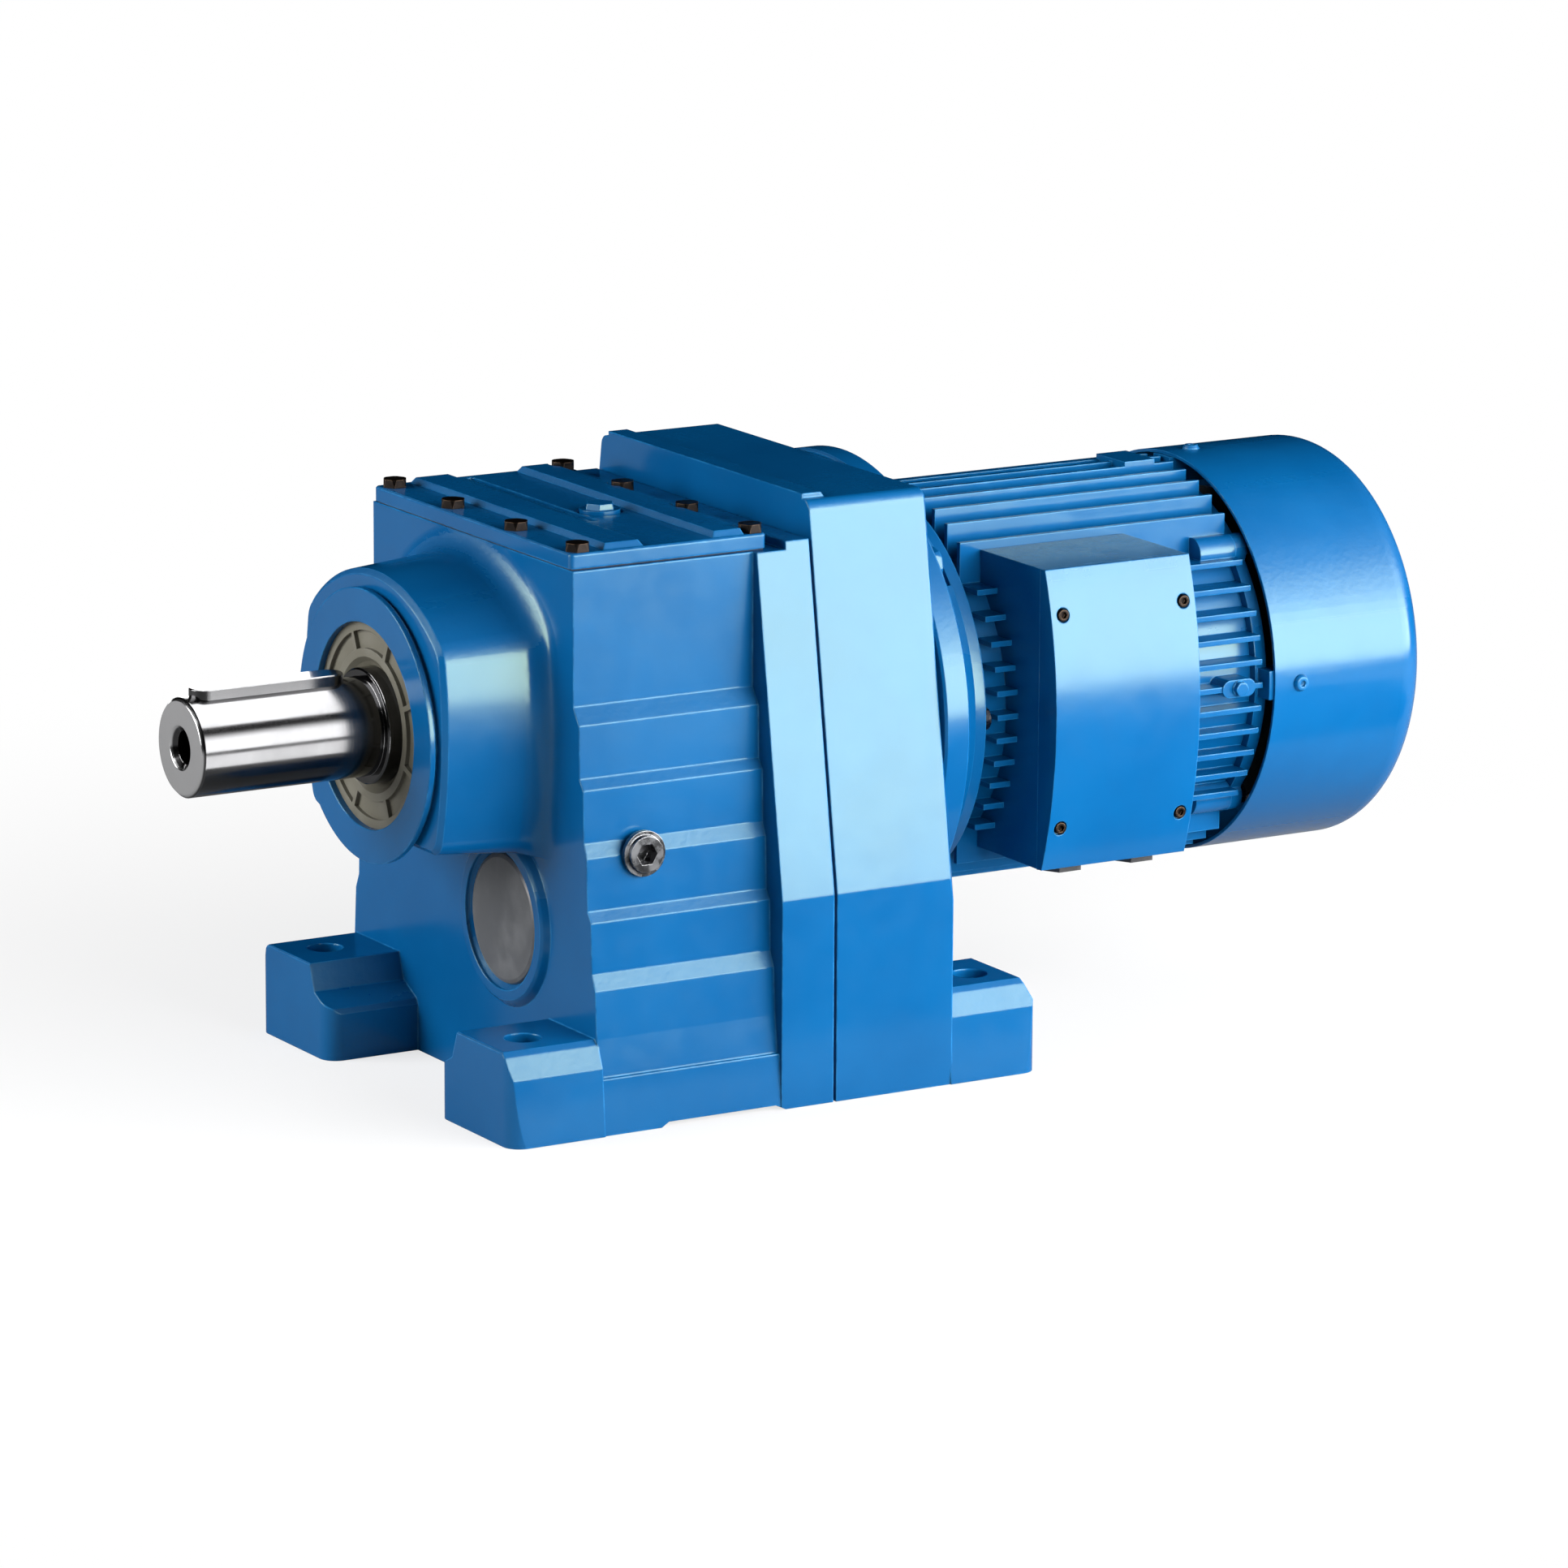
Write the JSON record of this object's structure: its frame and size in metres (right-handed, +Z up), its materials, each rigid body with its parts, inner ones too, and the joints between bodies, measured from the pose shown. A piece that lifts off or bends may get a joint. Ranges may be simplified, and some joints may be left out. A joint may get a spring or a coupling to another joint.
{
  "type": "industrial gearbox",
  "caption": "Foot-mounted inline helical gear unit with keyed output shaft, driven by a flange-mounted, finned, fan-cooled electric motor with a side terminal box.",
  "frame": {"origin": "centre of the four foot bolt holes, on the base plane", "axes": "+X along the output shaft axis from the output end towards the motor, +Z up, the terminal box is on the -Y side"},
  "size_m": [0.806, 0.324, 0.363],
  "materials": {
    "blue_paint": "gloss",
    "ground_steel": "satin",
    "gear_steel": "satin",
    "bearing_steel": "polished",
    "cage_brass": "satin",
    "dark_screw": "satin",
    "zinc_steel": "satin",
    "spring_steel": "satin",
    "breather_paint": "gloss",
    "cap_grey": "satin",
    "seal_rubber": "matte",
    "gasket_fibre": "matte",
    "core_steel": "satin",
    "copper_windings": "satin",
    "fan_plastic": "matte",
    "board_plastic": "matte",
    "stud_brass": "satin"
  },
  "bodies": {
    "gear_case": {"bearing_wave_spring": "spring_steel", "breather_plug": "breather_paint", "cable_plugs": "fan_plastic", "closing_cap": "cap_grey", "cover_gasket": "gasket_fibre", "cover_screws": "dark_screw", "earth_screw": "blue_paint", "end_shield_screws": "zinc_steel", "fan_cover": "blue_paint", "fan_cover_screws": "blue_paint", "front_housing": "blue_paint", "housing_gasket": "gasket_fibre", "housing_screws": "zinc_steel", "inspection_cover": "blue_paint", "intermediate_outer_rings": "bearing_steel", "motor_flange": "blue_paint", "motor_flange_screws": "blue_paint", "motor_frame": "blue_paint", "motor_oil_seal": "seal_rubber", "motor_outer_rings": "bearing_steel", "oil_drain_plug": "zinc_steel", "oil_level_plug": "zinc_steel", "output_bearing_circlip": "spring_steel", "output_front_outer_ring": "bearing_steel", "output_oil_seal": "seal_rubber", "output_rear_outer_ring": "bearing_steel", "rear_end_shield": "blue_paint", "rear_housing": "blue_paint", "stator_core": "core_steel", "stator_windings": "copper_windings", "terminal_board": "board_plastic", "terminal_box": "blue_paint", "terminal_box_lid": "blue_paint", "terminal_lid_screws": "dark_screw", "terminal_studs": "stud_brass"},
    "output_rotor": {"output_shaft": "ground_steel", "output_shaft_key": "ground_steel", "output_gear": "gear_steel", "output_gear_key": "ground_steel", "output_spacer": "ground_steel", "output_front_inner_ring": "bearing_steel", "output_rear_inner_ring": "bearing_steel"},
    "output_front_rolling": {"output_front_balls": "bearing_steel", "output_front_cage": "cage_brass"},
    "output_rear_rolling": {"output_rear_balls": "bearing_steel", "output_rear_cage": "cage_brass"},
    "intermediate_rotor": {"intermediate_shaft": "ground_steel", "intermediate_gear": "gear_steel", "intermediate_gear_key": "ground_steel", "intermediate_circlip": "spring_steel", "intermediate_inner_rings": "bearing_steel"},
    "intermediate_rolling": {"intermediate_balls": "bearing_steel", "intermediate_cages": "cage_brass"},
    "motor_rotor": {"motor_shaft": "ground_steel", "motor_pinion": "gear_steel", "rotor_core": "core_steel", "cooling_fan": "fan_plastic", "motor_inner_rings": "bearing_steel"},
    "motor_rolling": {"motor_balls": "bearing_steel", "motor_cages": "cage_brass"}
  },
  "joints": [
    {"name": "output_spin", "type": "hinge", "parent": "gear_case", "child": "output_rotor", "pos_m": [0, 0, 0.225], "axis": [1, 0, 0], "continuous": true},
    {"name": "output_front_rolling_spin", "type": "hinge", "parent": "gear_case", "child": "output_front_rolling", "pos_m": [-0.161, 0, 0.225], "axis": [1, 0, 0], "continuous": true},
    {"name": "output_rear_rolling_spin", "type": "hinge", "parent": "gear_case", "child": "output_rear_rolling", "pos_m": [0.021, 0, 0.225], "axis": [1, 0, 0], "continuous": true},
    {"name": "intermediate_spin", "type": "hinge", "parent": "gear_case", "child": "intermediate_rotor", "pos_m": [0, -0.043, 0.10763], "axis": [1, 0, 0], "continuous": true},
    {"name": "intermediate_rolling_spin", "type": "hinge", "parent": "gear_case", "child": "intermediate_rolling", "pos_m": [0, -0.043, 0.10763], "axis": [1, 0, 0], "continuous": true},
    {"name": "motor_spin", "type": "hinge", "parent": "gear_case", "child": "motor_rotor", "pos_m": [0.25, 0, 0.21213], "axis": [1, 0, 0], "continuous": true},
    {"name": "motor_rolling_spin", "type": "hinge", "parent": "gear_case", "child": "motor_rolling", "pos_m": [0.25, 0, 0.21213], "axis": [1, 0, 0], "continuous": true}
  ],
  "couplings": [
    {"joint": "output_front_rolling_spin", "follows": "output_spin", "ratio": 0.41282},
    {"joint": "output_rear_rolling_spin", "follows": "output_spin", "ratio": 0.40706},
    {"joint": "intermediate_spin", "follows": "output_spin", "ratio": -4.3333},
    {"joint": "intermediate_rolling_spin", "follows": "output_spin", "ratio": -1.7333},
    {"joint": "motor_spin", "follows": "output_spin", "ratio": 14.733},
    {"joint": "motor_rolling_spin", "follows": "output_spin", "ratio": 5.8933}
  ]
}
